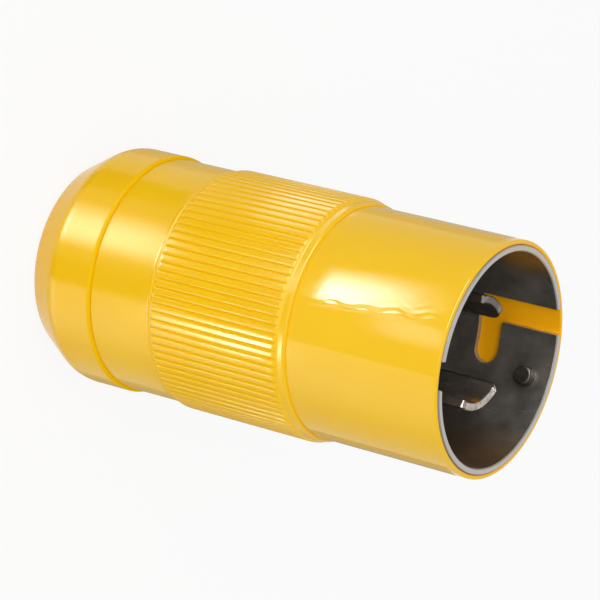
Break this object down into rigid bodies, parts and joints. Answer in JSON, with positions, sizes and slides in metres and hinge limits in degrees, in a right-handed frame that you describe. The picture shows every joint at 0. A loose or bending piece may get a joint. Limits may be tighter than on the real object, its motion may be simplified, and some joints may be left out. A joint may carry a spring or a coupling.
{
  "type": "twist-locking power plug",
  "caption": "Round twist-locking power plug with a ribbed ring, a slotted grounding shell round curved contact blades, and a clamping cap for the cord.",
  "frame": {"origin": "centre of the cap's flat back, which the plug stands on", "axes": "+Z along the plug's axis from the cord end to the open rim; +X and +Y across it"},
  "size_m": [0.07, 0.07, 0.14],
  "materials": {
    "yellow_jacket": "glossy soft vinyl with a slightly wavy surface",
    "yellow_body": "satin moulded nylon",
    "shell_steel": "dull plated steel",
    "blade_metal": "nickel-plated brass, bright at the bevels",
    "insulator": "dark moulded insulator",
    "terminal_brass": "machined brass",
    "screw_steel": "zinc-plated steel",
    "ground_green": "green coated screw",
    "black_rubber": "matt rubber"
  },
  "bodies": {
    "root": {"front_jacket": "yellow_jacket", "grounding_shell": "shell_steel", "shell_stud": "shell_steel", "contact_carrier": "insulator", "wide_blade": "blade_metal", "narrow_blade": "blade_metal", "terminal_block": "insulator", "wide_terminal": "terminal_brass", "narrow_terminal": "terminal_brass", "terminal_screws": "terminal_brass", "ground_strap": "screw_steel", "ground_screw": "ground_green", "assembly_screws": "screw_steel", "carrier_inserts": "terminal_brass", "grip_ring": "yellow_body", "rear_body": "yellow_body", "seal_ring": "black_rubber", "rear_cap": "yellow_body", "slip_washer": "screw_steel", "cord_grommet": "black_rubber"}
  },
  "joints": []
}
